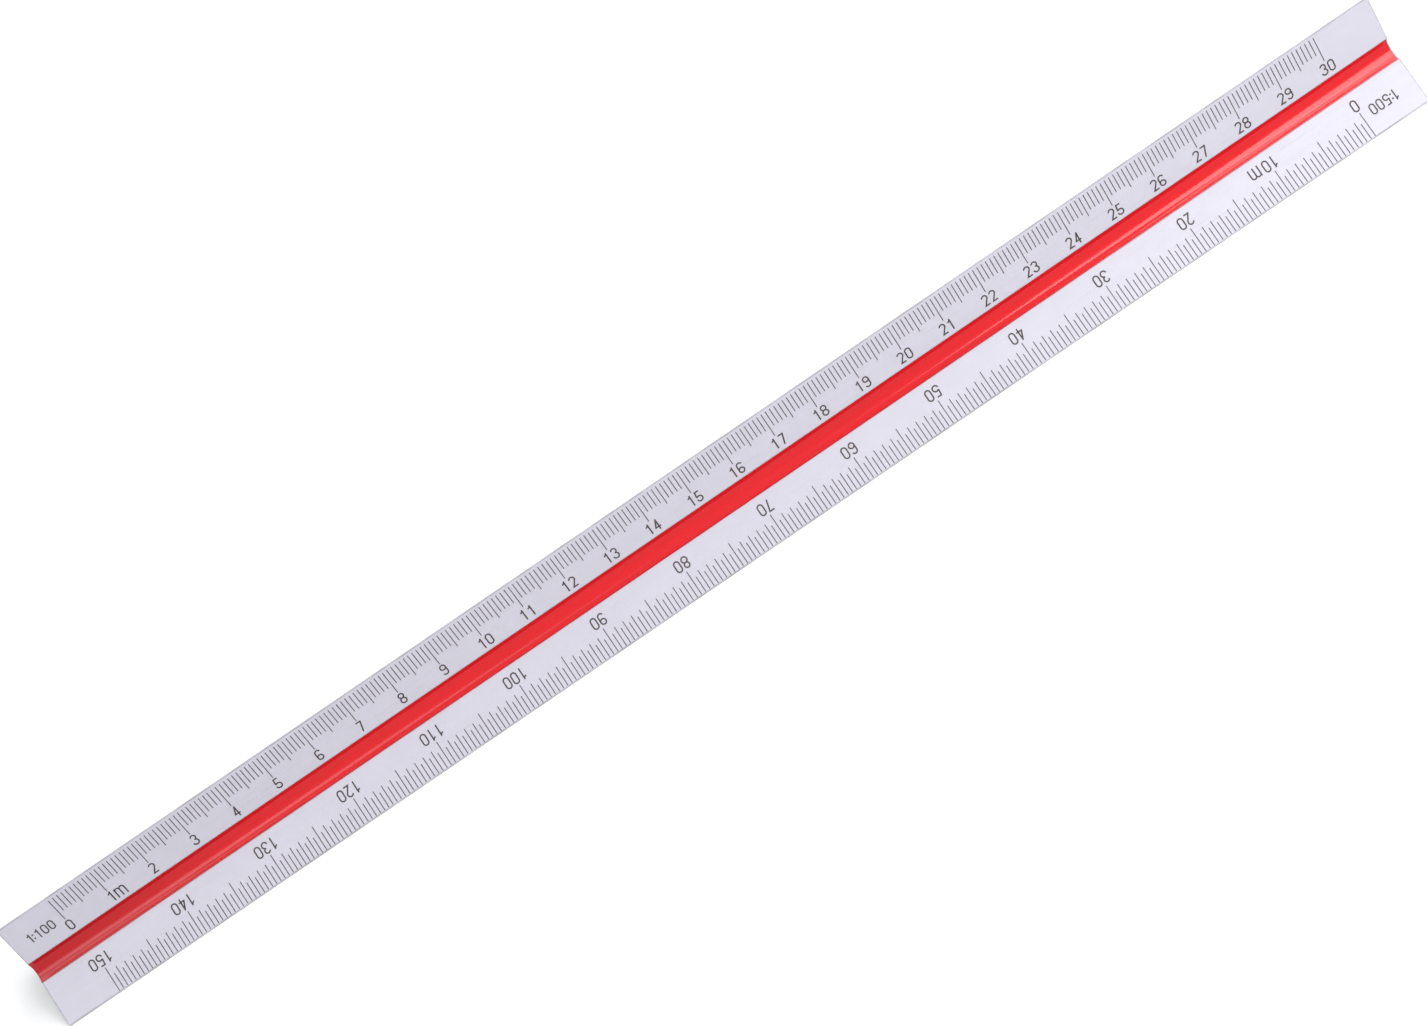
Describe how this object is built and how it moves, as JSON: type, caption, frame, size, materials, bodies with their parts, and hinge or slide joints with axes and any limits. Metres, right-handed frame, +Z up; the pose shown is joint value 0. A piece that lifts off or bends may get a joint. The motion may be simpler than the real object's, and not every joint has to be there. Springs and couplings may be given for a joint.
{
  "type": "triangular scale ruler",
  "caption": "Triangular scale ruler with six reduction scales on sloping facets, and a coloured flute strip on each side to tell the sides apart.",
  "frame": {"origin": "middle of the underside: centred along the ruler and between its two lower edges, on the plane that it lies on", "axes": "+X along the ruler, from the zero of the 1:100 scale towards its 30 m end; +Z up, through the top edge; the red side faces -Y and up"},
  "size_m": [0.325, 0.0244, 0.0211],
  "materials": {
    "body": "semi-gloss white ABS",
    "strip_red": "gloss red plastic",
    "strip_green": "gloss green plastic",
    "strip_blue": "gloss blue plastic",
    "ink": "dark brown-grey printing ink"
  },
  "bodies": {
    "root": {"ruler_body": "body", "flute_strip_red": "strip_red", "flute_strip_green": "strip_green", "flute_strip_blue": "strip_blue", "graduations_1_100": "ink", "figures_1_100": "ink", "ratio_1_100": "ink", "graduations_1_500": "ink", "figures_1_500": "ink", "ratio_1_500": "ink", "graduations_1_200": "ink", "figures_1_200": "ink", "ratio_1_200": "ink", "graduations_1_400": "ink", "figures_1_400": "ink", "ratio_1_400": "ink", "graduations_1_300": "ink", "figures_1_300": "ink", "ratio_1_300": "ink", "graduations_1_250": "ink", "figures_1_250": "ink", "ratio_1_250": "ink"}
  },
  "joints": []
}
